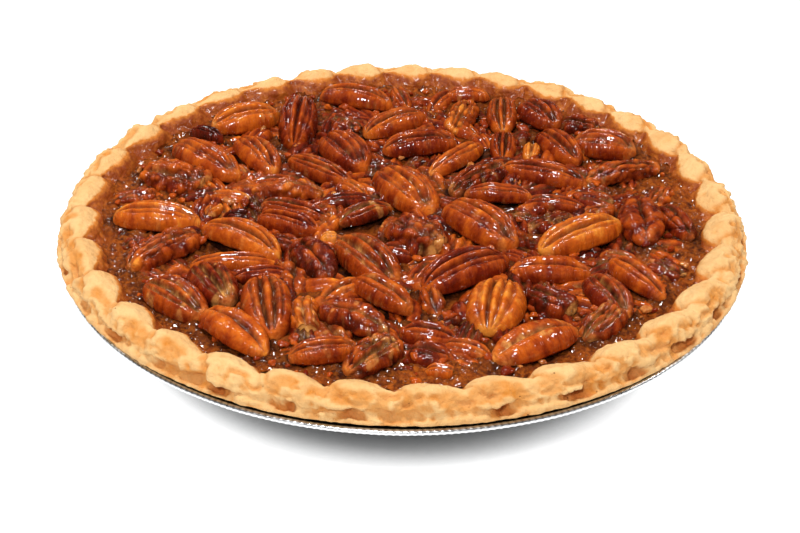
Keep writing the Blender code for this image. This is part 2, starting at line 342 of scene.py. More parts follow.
def makeCrust():
    look = crustLook
    rim, share = rimStations(look["rimPoints"])
    outer = np.array([(r, z, 0, 0, 0) for r, z in look["cupOutside"]])
    inner = np.array([(r, z, 0, 0, 0) for r, z in look["cupInside"]])
    stations = np.concatenate([outer, rim, inner])
    shares = np.concatenate([np.full(len(outer), -0.1), share, np.full(len(inner), 1.1)])
    section = [(r, z) for r, z in stations[:, :2]]
    flutes, columns = look["flutes"], look["columns"]
    crust = turnedPiece("crustPastry", section, flutes * columns)
    column, station = aroundAxis(crust, section, flutes * columns)
    flute, phase = column // columns, (column % columns) / columns
    pockets, lips, creases, dimples = (look[key] for key in ("pockets", "lips", "creases", "dimples"))
    chance = random.Random(33)
    swells = np.array([1 + chance.uniform(-1, 1) * look["unevenness"] for _ in range(flutes)])
    dents = np.array([chance.choice(look["pocketDepths"]) for _ in range(flutes)])[flute]
    shifts = np.array([chance.uniform(-pockets["shift"], pockets["shift"]) for _ in range(flutes)])
    lift = np.sin(np.pi * phase ** look["skew"]) * swells[flute]
    start, end = notchAngle(flute), notchAngle(flute + 1)
    row = stations[station]
    up = shares[station]
    turn = np.radians(start + (end - start) * phase + row[:, 4])
    radius, height = row[:, 0] + row[:, 2] * lift, row[:, 1] + row[:, 3] * lift
    points = np.stack([radius * np.cos(turn), radius * np.sin(turn), height], axis=1) * mm
    points[row[:, 0] < 0.01, :2] = 0
    movePoints(crust, points)
    # pockets where a thumb pressed from outside, an overhanging lip above each, and a crease from each notch
    rimOnly = smoothStep(-0.02, 0.05, up) * (1 - smoothStep(0.97, 1.02, up))
    wave, ragged = lumps(points, 4, 2, 61), lumps(points, 2.5, 3, 8)
    away = phase - pockets["along"] - shifts[flute] + 0.11 * wave
    low = up - pockets["up"] - 0.02 * ragged - 0.03 * wave
    pocket = bell(away, 0.09 + 0.05 * dents, 2.5) * bell(low, pockets["tall"])
    lip = bell(away, lips["long"]) * bell(low - lips["above"], lips["tall"])
    skewed = (phase - creases["slant"] * (creases["end"] - up) + 0.02 * wave + 0.5) % 1 - 0.5
    crease = bell(skewed, creases["wide"], 1)
    crease *= smoothStep(0.25, 0.5, up) * (1 - smoothStep(0.9, 1.0, up))
    out = -pockets["deep"] * pocket * dents + lips["out"] * lip * dents - creases["deep"] * crease
    face = 1 - 0.65 * smoothStep(0.38, 0.5, up)  # the top is smoother than the outer face
    broad = np.zeros(len(points))
    for size, depth in look["lumps"]:
        swell = face * depth * 2 * lumps(points, size, 2, int(size * 10))
        if size > look["broad"]:
            broad += swell
        else:
            out += swell
    for _ in range(dimples["count"]):
        # small hollows where fingers and the oven marked it
        where, lowness = chance.uniform(0, fullTurn), chance.uniform(*dimples["up"])
        size, depth = chance.uniform(*dimples["size"]), chance.uniform(*dimples["deep"])
        aside = (turn - where + np.pi) % fullTurn - np.pi
        near = (np.abs(aside) < 0.1) & (np.abs(up - lowness) < 0.3)
        across, level = aside[near] * look["face"][0], (up[near] - lowness) * look["face"][1]
        out[near] -= depth * bell(across, size * 1.5) * bell(level, size)
    # painted shade: the small hollows of the relief are marked to be painted gold
    hollowShade = smoothStep(0.0, 1.0, -out / 0.75 - 0.05)
    out = (out + broad) * rimOnly * (0.15 + 0.85 * smoothStep(0.05, 0.13, up))
    points += pointsOf(crust, "normal") * out[:, None] * mm
    points[:, 2] += 0.12 * mm * lumps(points, 9, 2, 5) * bell(up - 0.02, 0.08) * rimOnly
    movePoints(crust, points)
    foot = bell(up, 0.1) * (up >= 0)
    left, back = 0.5 - 0.5 * np.cos(turn), 0.5 + 0.5 * np.sin(turn)
    # browning on the foot, and painted shade in the pockets under each lip and along the creases between
    # lobes
    toastAndShade = pocket * dents * (0.9 + 0.6 * ragged) + foot * (0.28 + 0.4 * ragged)
    toastAndShade += crease * (0.12 + 0.4 * back) * (0.8 + 0.8 * ragged)
    # syrup boiled over most on the left and at the back
    stain = look["stain"]
    edge = stain["start"] - stain["left"] * left - stain["back"] * back * (1 - 0.4 * left) + 0.03 * ragged
    edge -= stain["notch"] * back * (1 - lift)
    paint(crust, "toastAndShade", toastAndShade)
    paint(crust, "syrup", smoothStep(edge, edge + stain["width"], up))
    paint(crust, "hollowShade", hollowShade * rimOnly)
    finishPiece(crust, "crust", pastryMaterial())
    print("crust made:", len(crust.data.vertices), "points")


def pastryMaterial():
    look, shares = crustLook, crustLook["shares"]
    material, tree, shader = newMaterial("bakedPastry", Specular_IOR_Level=0.15, Coat_Roughness=0.15)
    patches = useGroup(tree, "mottle", Size=12.0, Low=0.4, High=0.62, Seed=1.0)
    grains = useGroup(tree, "mottle", Size=3.0, Low=0.4, High=0.72, Seed=2.0)
    holes = useGroup(tree, "freckles", Pitch=2.0, Spot=0.16, Amount=0.28, Seed=3.0)
    golden = plus(tree, times(tree, patches, shares["patches"]), times(tree, grains, shares["grains"]))
    # painted shade: gold in the hollows
    golden = plus(tree, golden, times(tree, mask(tree, "hollowShade"), shares["hollows"]), clamp=True)
    colour = blendColour(tree, golden, screen(*look["cream"]), screen(*look["gold"]))
    # the toast mask: browning on the foot, painted shade in the pockets and creases
    brown = times(tree, mask(tree, "toastAndShade"), shares["toastAndShadeShare"], clamp=True)
    colour = blendColour(tree, brown, colour, screen(*look["toastAndShade"]))
    # the stain is caramel at its edge and dark further in
    wet = mask(tree, "syrup")
    colour = blendColour(tree, times(tree, wet, 6.0, clamp=True), colour, screen(*look["caramel"]))
    stained = blendColour(tree, grains, screen(*look["syrup"]), screen(*look["thinSyrup"]))
    colour = blendColour(tree, times(tree, wet, 1.4, clamp=True), colour, stained)
    colour = blendColour(tree, times(tree, holes, shares["specks"]), colour, screen(*look["speck"]))
    tree.links.new(colour, shader.inputs["Base Color"])
    setRoughness(tree, shader, wet, *look["roughness"])
    tree.links.new(times(tree, wet, look["gloss"]), shader.inputs["Coat Weight"])
    relief = useGroup(tree, "relief", Coarse=1.8, Fine=0.6, Share=0.35, Seed=4.0)
    addBump(tree, shader, calculate(tree, "SUBTRACT", relief, times(tree, holes, 0.5)), 1.0)
    return material


fillingLook = {
    "steps": 720,
    "edge": 101.6,  # it runs this far under the lobes
    "fineTo": 60.0,  # rings lie ringStep apart from the edge to here
    "ringStep": 0.52,
    "innerRings": 24,
    "top": 35.2,
    "sink": 1.5,  # how much lower it lies in the middle
    "wall": ((99.2, 34.3), (71.0, 5.1), (0.0, 5.1)),
    "bubbles": ((6, 0.5, 2), (2.6, 0.9, 2), (1.4, 0.75, 1)),  # size and height in mm, and octaves
    "nutEdge": 0.5,  # height of the raised edge along each nut
    "climb": 0.8,  # how far it climbs the crust
    "glaze": 0.95,
    # the colour of the painted shade between the nuts
    "deep": (34, 12, 5),
    "dark": (72, 26, 8),
    "brown": (128, 57, 15),
    "amber": (180, 94, 26),
    "chip": (204, 122, 44),
}


def nearNuts(places, nutRows):
    # how far each place, x and y in mm, lies outside the nearest nut, negative inside it
    least = np.full(len(places), 99.0)
    for row in nutRows:
        angle = math.radians(row["turn"])
        dx, dy = places[:, 0] - row["x"], places[:, 1] - row["y"]
        along = dx * math.cos(angle) + dy * math.sin(angle)
        across = -dx * math.sin(angle) + dy * math.cos(angle)
        reach = np.hypot(along / (row["length"] / 2), across / (row["width"] / 2))
        least = np.minimum(least, (reach - 1) * row["width"] / 2)
    return least


def makeFilling(nutRows):
    look = fillingLook
    radii = list(np.arange(look["edge"], look["fineTo"], -look["ringStep"]))
    radii += list(np.linspace(look["fineTo"], 2.5, look["innerRings"]))
    section = [(0.0, look["top"])] + [(r, look["top"]) for r in reversed(radii)] + list(look["wall"])
    filling = turnedPiece("syrupFilling", section, look["steps"])
    points = pointsOf(filling)
    onTop = points[:, 2] > (look["top"] - 0.2) * mm
    radius = np.hypot(points[:, 0], points[:, 1]) / mm
    outside = nearNuts(points[:, :2] / mm, nutRows)
    # it lies lower among the nuts, climbs the crust, and has a fine raised edge along each nut
    rise = look["nutEdge"] * bell(outside - 0.5, 0.5) + look["climb"] * bell(radius - 102, 1.6, 1)
    rise -= look["sink"] * (1 - smoothStep(72, 92, radius))
    for number, (size, height, octaves) in enumerate(look["bubbles"]):
        rise += height * lumps(points, size, octaves, number + 1)
    points[:, 2] += np.where(onTop, rise * mm, 0)
    movePoints(filling, points)
    # painted shade: darkest next to each nut, and a little over the middle among the nuts
    shaded = bell(np.maximum(outside, 0), 2.2, 1) + (1 - smoothStep(60, 90, radius)) * 0.25
    paint(filling, "shaded", shaded * (0.75 + 0.5 * lumps(points, 5, 2, 9)))
    finishPiece(filling, "filling", fillingMaterial())
    print("filling made:", len(filling.data.vertices), "points")


def fillingMaterial():
    look = fillingLook
    fixed = {"Roughness": 0.4, "Specular_IOR_Level": 0.03, "Coat_Roughness": 0.06}
    material, tree, shader = newMaterial("setSyrup", **fixed)
    patches = useGroup(tree, "mottle", Size=5.0, Low=0.38, High=0.62, Seed=5.0)
    grains = useGroup(tree, "mottle", Size=1.6, Low=0.4, High=0.66, Seed=6.0)
    chips = useGroup(tree, "freckles", Pitch=2.0, Spot=0.25, Amount=0.2, Seed=7.0)
    colour = blendColour(tree, patches, screen(*look["dark"]), screen(*look["brown"]))
    colour = blendColour(tree, times(tree, grains, 0.6), colour, screen(*look["amber"]))
    colour = blendColour(tree, times(tree, chips, 0.5), colour, screen(*look["chip"]))
    # painted shade next to the nuts
    colour = blendColour(tree, mask(tree, "shaded"), colour, screen(*look["deep"]))
    tree.links.new(colour, shader.inputs["Base Color"])
    froth = useGroup(tree, "relief", Coarse=1.5, Fine=0.7, Share=0.45, Seed=8.0)
    addBump(tree, shader, froth, 1.6)
    glaze = useGroup(tree, "mottle", Size=2.2, Low=0.45, High=0.55, Seed=15.0)
    coat = plus(tree, times(tree, glaze, look["glaze"]), 1 - look["glaze"])
    tree.links.new(coat, shader.inputs["Coat Weight"])
    return material


pecanLook = {
    "segments": 64,  # round the nut, most of them on its upper side
    "rings": 84,
    "upperShare": 0.72,
    "ridges": {  # centre and half-width of each ridge, across a nut from -1 to 1
        2: ((-0.5, 0.5), (0.5, 0.5)),
        3: ((-0.62, 0.42), (0.0, 0.21), (0.62, 0.42)),
        4: ((-0.68, 0.34), (-0.2, 0.23), (0.22, 0.23), (0.68, 0.34)),
        5: ((-0.74, 0.26), (-0.36, 0.2), (0.0, 0.19), (0.36, 0.2), (0.74, 0.26)),
    },
    "grooveDepth": 0.66,  # as a share of the height
    "ridgeWander": 0.04,  # how far a ridge lies off its place
    "flank": {"at": 0.6, "wide": 0.06, "deep": 0.2},  # a finer groove along each flank
    "furrow": {"off": 0.06, "wide": 0.13, "deep": 0.42},  # the one groove of a nut that lies face up
    "creases": {"pitch": (1.6, 2.3), "facePitch": 2.8, "deep": 0.3},  # mm
    "torn": (1.0, 1.1),  # how far a broken end is set back and how ragged it is, mm
    # groove, crease and side darken as painted shade, ridge lightens as a painted highlight; blotch and tip
    # are the nut's own tone
    "tones": {"blotch": 0.24, "groove": -0.34, "crease": -0.07, "ridge": 0.08, "side": -0.12, "tip": 0.12},
    "shares": {"streaks": 0.16, "clouds": 0.14, "groove": 0.6, "glaze": 0.8},
    "roughness": (0.22, 0.4),
    "propped": {31: 5.0},  # nuts that lean on others, and how far the far end is raised, mm
    # the colour of the painted shade in the grooves
    "grooveShade": (60, 20, 8),
    "night": (44, 10, 4),
    "mahogany": (106, 27, 7),
    "brown": (154, 60, 14),
    "orange": (192, 90, 20),
    "amber": (220, 132, 44),
    "pale": (216, 152, 80),
}

# one row for each nut of the frame, from pecan_01 on: turn of the long axis, length, width, form and ridges,
# tone from dark 0 to bright 1, pale tips, bend, crinkle
pecanRows = (
    (-5, 30, 15, "back3", 0.74, 0.3, 0.04, 0.2),
    (-36, 33, 13.5, "back3", 0.72, 0.2, -0.08, 0.1),
    (48, 29, 12, "cut3", 0.62, 0.3, 0.0, 0.6),
    (-60, 25, 14, "back3", 0.3, 0.6, 0.0, 0.1),
    (-42, 27, 14, "back3", 0.48, 0.6, 0.0, 0.2),
    (-80, 32, 16, "back3", 0.58, 0.2, 0.03, 0.1),
    (-85, 20, 9, "cut2", 0.82, 0.7, 0.1, 0.4),
    (-46, 29, 14, "face2", 0.62, 0.2, 0.0, 0.2),
    (-30, 25, 12, "face2", 0.52, 0.5, 0.0, 0.4),
    (-45, 25, 11.5, "back2", 0.55, 0.3, 0.0, 0.3),
    (12, 21, 10, "back3", 0.6, 0.3, 0.05, 0.3),
    (45, 20, 11, "cut3", 0.54, 0.6, 0.0, 0.6),
    (-55, 32, 16, "back3", 0.52, 0.4, 0.0, 0.2),
    (-25, 24, 11, "back3", 0.48, 0.0, 0.03, 0.1),
    (-25, 27, 8.5, "back2", 0.36, 0.2, 0.06, 0.1),
    (30, 19, 8.5, "back2", 0.34, 0.6, 0.0, 0.3),
    (-60, 23, 13, "face2", 0.4, 0.1, 0.0, 0.4),
    (-50, 33, 17.5, "back4", 0.56, 0.2, 0.0, 0.2),
    (35, 33, 16, "back3", 0.46, 0.0, -0.03, 0.1),
    (0, 26, 12, "face2", 0.52, 0.1, 0.0, 0.3),
    (33, 34, 15, "back3", 0.82, 0.4, 0.04, 0.1),
    (78, 28, 18, "back5", 0.82, 0.2, 0.02, 0.1),
    (-40, 17, 11, "cut2", 0.36, 0.2, 0.2, 0.4),
    (-68, 23, 13, "back3", 0.4, 0.3, 0.0, 0.3),
    (-58, 26, 10.5, "back2", 0.62, 0.2, 0.05, 0.2),
    (88, 29, 15, "face2", 0.52, 0.1, 0.0, 0.4),
    (-70, 22, 9.5, "back2", 0.42, 0.2, 0.0, 0.4),
    (33, 30, 15, "face2", 0.58, 0.8, 0.0, 0.3),
    (50, 19, 10.5, "cut3", 0.55, 0.8, 0.1, 0.4),
    (-45, 22, 16, "cut4", 0.48, 0.3, 0.0, 0.9),
    (87, 32, 15, "back4", 0.4, 0.0, 0.0, 0.1),
    (25, 28, 17, "back3", 0.72, 0.3, 0.0, 0.3),
    (-30, 15, 7, "back2", 0.14, 0.0, 0.0, 0.2),
    (-45, 35, 16, "back4", 0.6, 0.2, 0.05, 0.2),
    (-60, 29, 14, "back3", 0.62, 0.2, 0.0, 0.1),
    (-20, 26, 15.5, "cut4", 0.64, 0.3, 0.0, 1.0),
    (-40, 31, 10.5, "back3", 0.5, 0.2, 0.08, 0.1),
    (-60, 28, 17, "back4", 0.48, 0.1, 0.0, 0.2),
    (0, 26, 10.5, "face2", 0.68, 0.5, 0.0, 0.6),
    (-15, 30, 15, "back3", 0.6, 0.2, 0.0, 0.2),
    (35, 28, 14, "back3", 0.58, 0.2, 0.03, 0.2),
    (12, 28, 14, "back3", 0.46, 0.1, 0.0, 0.2),
    (52, 32, 9.5, "back2", 0.66, 0.3, 0.1, 0.1),
    (-22, 32, 12.5, "back3", 0.5, 0.1, 0.05, 0.1),
    (18, 29, 9.5, "back2", 0.62, 0.3, 0.0, 0.6),
    (-20, 24, 16, "back4", 0.5, 0.4, 0.0, 0.2),
    (-65, 27, 13, "back3", 0.48, 0.1, 0.0, 0.1),
    (85, 21, 10, "back3", 0.46, 0.1, 0.0, 0.2),
    (42, 26, 12, "cut3", 0.42, 0.3, 0.0, 0.7),
    (-5, 24, 8.5, "back2", 0.46, 0.2, 0.05, 0.1),
    (-60, 35, 18, "back4", 0.56, 0.3, 0.0, 0.2),
    (75, 27, 11.5, "back3", 0.74, 0.4, 0.1, 0.6),
    (88, 27, 12, "back3", 0.54, 0.2, 0.0, 0.2),
    (-60, 22, 16, "back3", 0.4, 0.1, 0.0, 0.3),
    (0, 18, 8, "back2", 0.6, 0.3, 0.0, 0.3),
    (-30, 16, 10, "cut3", 0.4, 0.2, 0.0, 0.6),
)


def shapeNut(ball, row, seed):
    # the ball's points as a nut lying along X with its widest line on Z 0, in mm, and its masks
    look, creases, tones = pecanLook, pecanLook["creases"], pecanLook["tones"]
    length, width, height = row["length"], row["width"], row["height"]
    kind, count = row["form"][:-1], int(row["form"][-1])
    chance = random.Random(seed)
    evenly = 2 / np.pi * np.arcsin(np.clip(ball[:, 2], -1, 1))
    s = 0.45 * ball[:, 2] + 0.55 * evenly  # -1 to 1 from end to end
    angle = np.arctan2(ball[:, 0], ball[:, 1])  # 0 on top
    upper = look["upperShare"] * np.pi
    u = np.clip(np.abs(angle) / upper, 0, 1)
    v = np.clip((np.abs(angle) - upper) / (np.pi - upper), 0, 1)
    # y runs from -1 to 1 across the nut
    y = np.sign(angle) * np.where(v > 0, np.cos(v * np.pi / 2), 0.6 * u + 0.4 * np.sin(u * np.pi / 2))
    under = v > 0
    wide = np.abs(y)
    # pointed ahead, or blunt where it is broken, and rounder behind
    blunt = kind == "cut"
    ahead, behind = np.maximum(s, 0), np.maximum(-s, 0)
    ends = np.where(s > 0, (1 - ahead ** (5.0 if blunt else 2.2)) ** 0.56, (1 - behind**2.4) ** 0.48)
    tall = np.where(s > 0, (1 - ahead ** (6.0 if blunt else 2.6)) ** 0.5, (1 - behind**2.6) ** 0.5)
    half = width / 2 * ends
    along = s * length / 2
    spot = np.stack([along, y * half, np.where(under, -1.0, 1.0) + seed * 7.1], axis=1) * mm
    wander = lumps(spot, 9, 1, seed)
    fine = lumps(spot, 3.2, 2, seed + 3)
    if kind == "face":
        arch = (1 - wide**3.6) ** 0.5 * 0.8
        furrow = look["furrow"]
        centre = chance.uniform(-furrow["off"], furrow["off"]) + 0.1 * wander
        groove = bell(y - centre, furrow["wide"], 1.5) * (1 - np.abs(s) ** 5)
        arch = arch * (1 - furrow["deep"] * groove) + 0.05 * np.cos(2 * np.pi * (wide - 0.5))
        pitch = creases["facePitch"]
        ribs = smoothStep(0.12, 0.35, wide)
    else:
        ridge = np.zeros(len(s))
        for place, share in look["ridges"][count]:
            aside = chance.uniform(-look["ridgeWander"], look["ridgeWander"])
            off = (y - place - aside - 0.05 * wander) / share
            outermost = abs(place) > 0.45
            if outermost:
                off = np.where((y * place > 0) & (wide > abs(place)), 0, off)
            # the ridges between the outer two sink towards the pointed end
            keep = 1 if outermost else 1 - 0.45 * smoothStep(0.45, 0.8, s)
            ridge = ridge + (np.sqrt(np.clip(1 - off**2, 0, 1)) * keep) ** 5
        ridge = np.clip(ridge ** (1 / 5), 0, 1)
        groove = (1 - ridge) * (1 - smoothStep(0.74, 0.97, s)) * (1 - smoothStep(0.9, 1.0, -s))
        arch = (1 - wide**2.5) ** 0.52 * (1 - look["grooveDepth"] * groove)
        groove = np.clip(groove / 0.6, 0, 1)
        flank = look["flank"]
        split = bell(wide - flank["at"] - 0.07 * wander, flank["wide"])
        split *= 1 - smoothStep(0.5, 0.85, np.abs(s))
        arch = arch * (1 - flank["deep"] * split * (count < 5))
        groove = np.maximum(groove, 0.6 * split)
        pitch = chance.uniform(*creases["pitch"])
        ribs = smoothStep(0.28, 0.6, wide)
    z = np.where(under, -height * 0.42 * np.sin(v * np.pi / 2) * ends**0.8, height * tall * arch)
    # creases across the flanks, slanting and uneven, with plump folds between them
    phase = along / pitch + 0.8 * y + 0.8 * wander + 0.25 * fine
    crease = np.abs(np.cos(np.pi * phase)) ** 6 * np.clip(0.35 + 1.1 * lumps(spot, 5, 1, seed + 5), 0, 1)
    crease += 0.35 * np.abs(np.cos(np.pi * (2.3 * phase + 0.3 * fine))) ** 4
    depth = creases["deep"] * (1 + 1.2 * row["crinkle"])
    z -= np.where(under, 0, depth * crease * ribs)
    half = half - 0.8 * depth * crease * ribs * (wide > 0.6)
    # torn end of a broken nut
    torn = smoothStep(0.84, 0.95, s) if blunt else np.zeros(len(s))
    x = along - torn * (look["torn"][0] + look["torn"][1] * lumps(spot, 2.5, 2, seed + 11))
    z += 0.34 * lumps(spot, 5, 2, seed + 13) + 0.12 * fine
    across = y * half * (1 + 0.05 * wander) + 0.5 * row["bend"] * length * (s**2 - 0.35)
    z = z - 0.05 * length * s**2 + 0.02 * length
    tips = smoothStep(0.7, 1.0, np.abs(s))
    blotch = lumps(spot, 4, 2, seed + 15)
    groove = groove * ~under
    # painted shade in the grooves, creases, outer sides and underside, and a painted highlight along the
    # middle ridges; blotches and tips are the nut's own tone
    tone = row["tone"] + tones["blotch"] * blotch + tones["groove"] * groove
    tone += tones["crease"] * crease * ribs + tones["tip"] * tips
    tone += tones["ridge"] * (1 - groove) * (1 - smoothStep(0.3, 0.9, wide))
    tone += tones["side"] * (smoothStep(0.75, 1.0, wide) + under)
    speckled = 0.55 + 0.9 * fine
    pale = row["pale"] * (0.6 * tips + 0.75 * groove) * speckled + 0.75 * torn
    pale = pale + row["pale"] * smoothStep(0.4, 0.6, lumps(spot, 3.5, 2, seed + 17)) * 0.6
    masks = {"tone": tone, "groove": groove, "pale": pale}
    masks["along"] = along / 60 + 0.5 + 0.02 * (seed % 11)
    masks["across"] = y * half / 30 + 0.5
    return np.stack([x, across, z], axis=1), masks


def crumple(piece, depth, size, seed):
    # folds that swell between sharp creases, as where a nut is broken or badly wrinkled
    points, normals = pointsOf(piece), pointsOf(piece, "normal")
    folds = np.abs(lumps(points, size, 1, seed)) ** 0.7 * 1.9 - 0.55
    folds += 0.35 * lumps(points, size * 0.45, 1, seed + 1)
    movePoints(piece, points + normals * (folds * depth * mm)[:, None])
    return np.clip(0.55 - folds, 0, 1)


def placeNut(points, x, y, z, turn, pitch=0.0, roll=0.0):
    # turned about its own centre, then moved, mm to metres
    swing = np.array(Euler((math.radians(roll), math.radians(pitch), math.radians(turn))).to_matrix())
    return (points @ swing.T + np.array([x, y, z])) * mm


def newNut(ball, start, row, seed):
    # one nut in its place, its crown at the row's top
    nut = bpy.data.objects.new("nut", ball.data.copy())
    bpy.context.collection.objects.link(nut)
    points, masks = shapeNut(start, row, seed)
    pitch, roll = row.get("pitch", 0), row.get("roll", 0)
    movePoints(nut, placeNut(points, row["x"], row["y"], 0, row["turn"], pitch, roll))
    if row["crinkle"] > 0.35:
        creased = crumple(nut, 1.3 * row["crinkle"], 4.6, seed + 21)
        # painted shade in the crumpled creases
        masks["tone"] = masks["tone"] - 0.2 * creased
        masks["groove"] = np.maximum(masks["groove"], 0.7 * creased)
    points = pointsOf(nut)
    points[:, 2] += row["top"] * mm - points[:, 2].max()
    movePoints(nut, points)
    for label, values in masks.items():
        paint(nut, label, values)
    return nut


def makeNuts(rows, look, seed):
    # every nut is shaped from a copy of one ball
    bpy.ops.mesh.primitive_uv_sphere_add(segments=look["segments"], ring_count=look["rings"], radius=1)
    ball = bpy.context.object
    bpy.ops.object.shade_smooth()
    start = pointsOf(ball)
    nuts = [newNut(ball, start, row, seed + number) for number, row in enumerate(rows)]
    bpy.data.objects.remove(ball, do_unlink=True)
    return nuts


def makePecans(rows, material):
    for number, row in enumerate(rows):
        chance = random.Random(900 + number)
        row["height"] = 0.86 * (row["top"] - row["base"])
        row["pitch"] = -math.degrees(math.atan2(row["rise"], row["length"])) + chance.uniform(-2, 2)
        row["roll"] = chance.uniform(-8, 8)
    for row, nut in zip(rows, makeNuts(rows, pecanLook, 20)):
        nut.name = nut.data.name = "half_" + row["node"]
        finishPiece(nut, row["node"], material)
    print("pecans made:", len(rows))


def pecanMaterial():
    look, shares = pecanLook, pecanLook["shares"]
    material, tree, shader = newMaterial("glazedPecan", Specular_IOR_Level=0.03, Coat_Roughness=0.08)
    streaks = useGroup(tree, "mottle", Size=1.7, Low=0.3, High=0.7, Seed=9.0)
    clouds = useGroup(tree, "mottle", Size=6.0, Low=0.3, High=0.7, Seed=10.0)
    tone = plus(tree, mask(tree, "tone"), times(tree, streaks, shares["streaks"]))
    tone = plus(tree, tone, times(tree, clouds, shares["clouds"]))
    tone = calculate(tree, "SUBTRACT", tone, (shares["streaks"] + shares["clouds"]) / 2, clamp=True)
    ramp = addNode(tree, "ShaderNodeValToRGB")
    stops = ramp.color_ramp.elements
    stops[0].color, stops[1].color = screen(*look["night"]), screen(*look["amber"])
    for place, name in ((0.28, "mahogany"), (0.52, "brown"), (0.78, "orange")):
        stops.new(place).color = screen(*look[name])
    tree.links.new(tone, ramp.inputs[0])
    # painted shade in the grooves
    deep = times(tree, mask(tree, "groove"), shares["groove"])
    colour = blendColour(tree, deep, ramp.outputs[0], screen(*look["grooveShade"]))
    light = times(tree, mask(tree, "pale"), plus(tree, streaks, 0.4), clamp=True)
    colour = blendColour(tree, light, colour, screen(*look["pale"]))
    tree.links.new(colour, shader.inputs["Base Color"])
    skin = useGroup(tree, "relief", Coarse=1.4, Fine=0.45, Share=0.4, Seed=11.0)
    # fine wrinkles that run across the nut
    own = addNode(tree, "ShaderNodeCombineXYZ")
    tree.links.new(times(tree, mask(tree, "along"), 60.0), own.inputs[0])
    tree.links.new(times(tree, mask(tree, "across"), 8.0), own.inputs[1])
    wrinkles = addNode(tree, "ShaderNodeTexNoise")
    wrinkles.inputs["Scale"].default_value = 0.9
    wrinkles.inputs["Detail"].default_value = 2
    wrinkles.inputs["Distortion"].default_value = 0.6
    tree.links.new(own.outputs[0], wrinkles.inputs["Vector"])
    height = plus(tree, times(tree, skin, 0.5), wrinkles.outputs["Fac"])
    addBump(tree, shader, height, 0.7)
    setRoughness(tree, shader, clouds, *look["roughness"])
    glaze = useGroup(tree, "mottle", Size=3.0, Low=0.4, High=0.62, Seed=14.0)
    coat = plus(tree, times(tree, glaze, shares["glaze"]), 1 - shares["glaze"])
    tree.links.new(coat, shader.inputs["Coat Weight"])
    return material


looseLook = {
    "segments": 36,
    "rings": 32,
    "bend": 0.03,
    "below": 1.5,  # how far its widest line lies under the syrup, mm
}

# x, y, turn, length, width, form and ridges, tone, pale, crinkle, height of its crown above the syrup
looseRows = (
    (-53, -34.5, 3, 31, 8, "back2", 0.62, 0.2, 0.1, 3.2),
    (-18, -51.5, 40, 18, 10, "back2", 0.68, 0.4, 0.3, 3.6),
    (-24, -21, 0, 6, 5, "cut2", 0.95, 0.9, 0.3, 3.4),
    (-87, -24, 20, 9, 6, "cut2", 0.4, 0.2, 0.6, 2.0),
    (-44, -42, 8, 19, 7, "back2", 0.42, 0.0, 0.2, 3.0),
    (84, -36, -40, 15, 10, "cut3", 0.42, 0.3, 0.8, 2.8),
    (8, -74, -15, 18, 10, "back2", 0.46, 0.1, 0.3, 3.6),
    (19, -81, -20, 15, 8, "back2", 0.52, 0.3, 0.3, 3.0),
    (8, -84, -20, 15, 11, "back2", 0.48, 0.1, 0.4, 3.6),
    (11, -92, -10, 9, 6, "cut2", 0.7, 0.5, 0.3, 2.4),
    (14, -65, 30, 8, 6, "cut2", 0.34, 0.2, 0.7, 2.2),
    (50, -7, 20, 18, 10, "cut3", 0.3, 0.3, 0.8, 3.2),
    (40, -3, -30, 10, 7, "cut2", 0.36, 0.3, 0.7, 2.4),
    (70, -31, -35, 14, 9, "back2", 0.5, 0.7, 0.4, 3.0),
    (-92, 8, 10, 15, 10, "cut3", 0.52, 0.3, 0.9, 2.6),
    (-20, 6, 12, 22, 8, "back2", 0.26, 0.1, 0.2, 3.0),
    (-46, 18, 10, 16, 8, "back2", 0.5, 0.3, 0.3, 3.0),
    (-22, 68, -30, 18, 12, "cut3", 0.36, 0.5, 0.8, 3.4),
    (-1, 90, -75, 20, 8, "back2", 0.5, 0.2, 0.3, 3.4),
    (47, 43, 80, 11, 7, "cut2", 0.9, 0.9, 0.3, 3.4),
    (89, 12, 60, 15, 10, "cut3", 0.66, 0.3, 0.8, 3.2),
    (15, 88, 60, 20, 9, "back2", 0.46, 0.1, 0.2, 3.2),
    (4, 77, 10, 9, 6, "cut2", 0.44, 0.3, 0.6, 2.4),
    (52, 6, -10, 24, 8, "back2", 0.46, 0.2, 0.2, 2.8),
    (-56, -5, 0, 9, 7, "cut2", 0.2, 0.0, 0.7, 2.2),
    (-64, -2, 50, 7, 5, "cut2", 0.85, 0.8, 0.5, 2.4),
    (14, 6, -20, 12, 8, "cut2", 0.44, 0.3, 0.6, 2.4),
    (-17, 14, -50, 16, 7, "back2", 0.64, 0.4, 0.3, 2.8),
    (-38, -22, -30, 14, 8, "back2", 0.42, 0.2, 0.4, 2.4),
    (6, -40, 60, 16, 8, "back2", 0.48, 0.3, 0.3, 2.8),
    (64, 10, -15, 17, 8, "cut2", 0.36, 0.3, 0.5, 2.6),
    (67, 1, 10, 12, 7, "cut2", 0.6, 0.5, 0.5, 2.4),
)


def joinPieces(pieces, name):
    bpy.ops.object.select_all(action="DESELECT")
    for piece in pieces:
        piece.select_set(True)
    bpy.context.view_layer.objects.active = pieces[0]
    bpy.ops.object.join()
    joined = bpy.context.object
    joined.name = joined.data.name = name
    return joined


def makeLooseNuts(material):
    look = looseLook
    keys = ("x", "y", "turn", "length", "width", "form", "tone", "pale", "crinkle", "crown")
    rows = [dict(zip(keys, values), bend=look["bend"]) for values in looseRows]
    for row in rows:
        row["top"] = fillingLook["top"] + row["crown"]
        row["height"] = min(row["crown"] + look["below"], 0.55 * row["width"])
    finishPiece(joinPieces(makeNuts(rows, look, 300), "looseNuts"), None, material)
    print("loose nuts made:", len(rows))


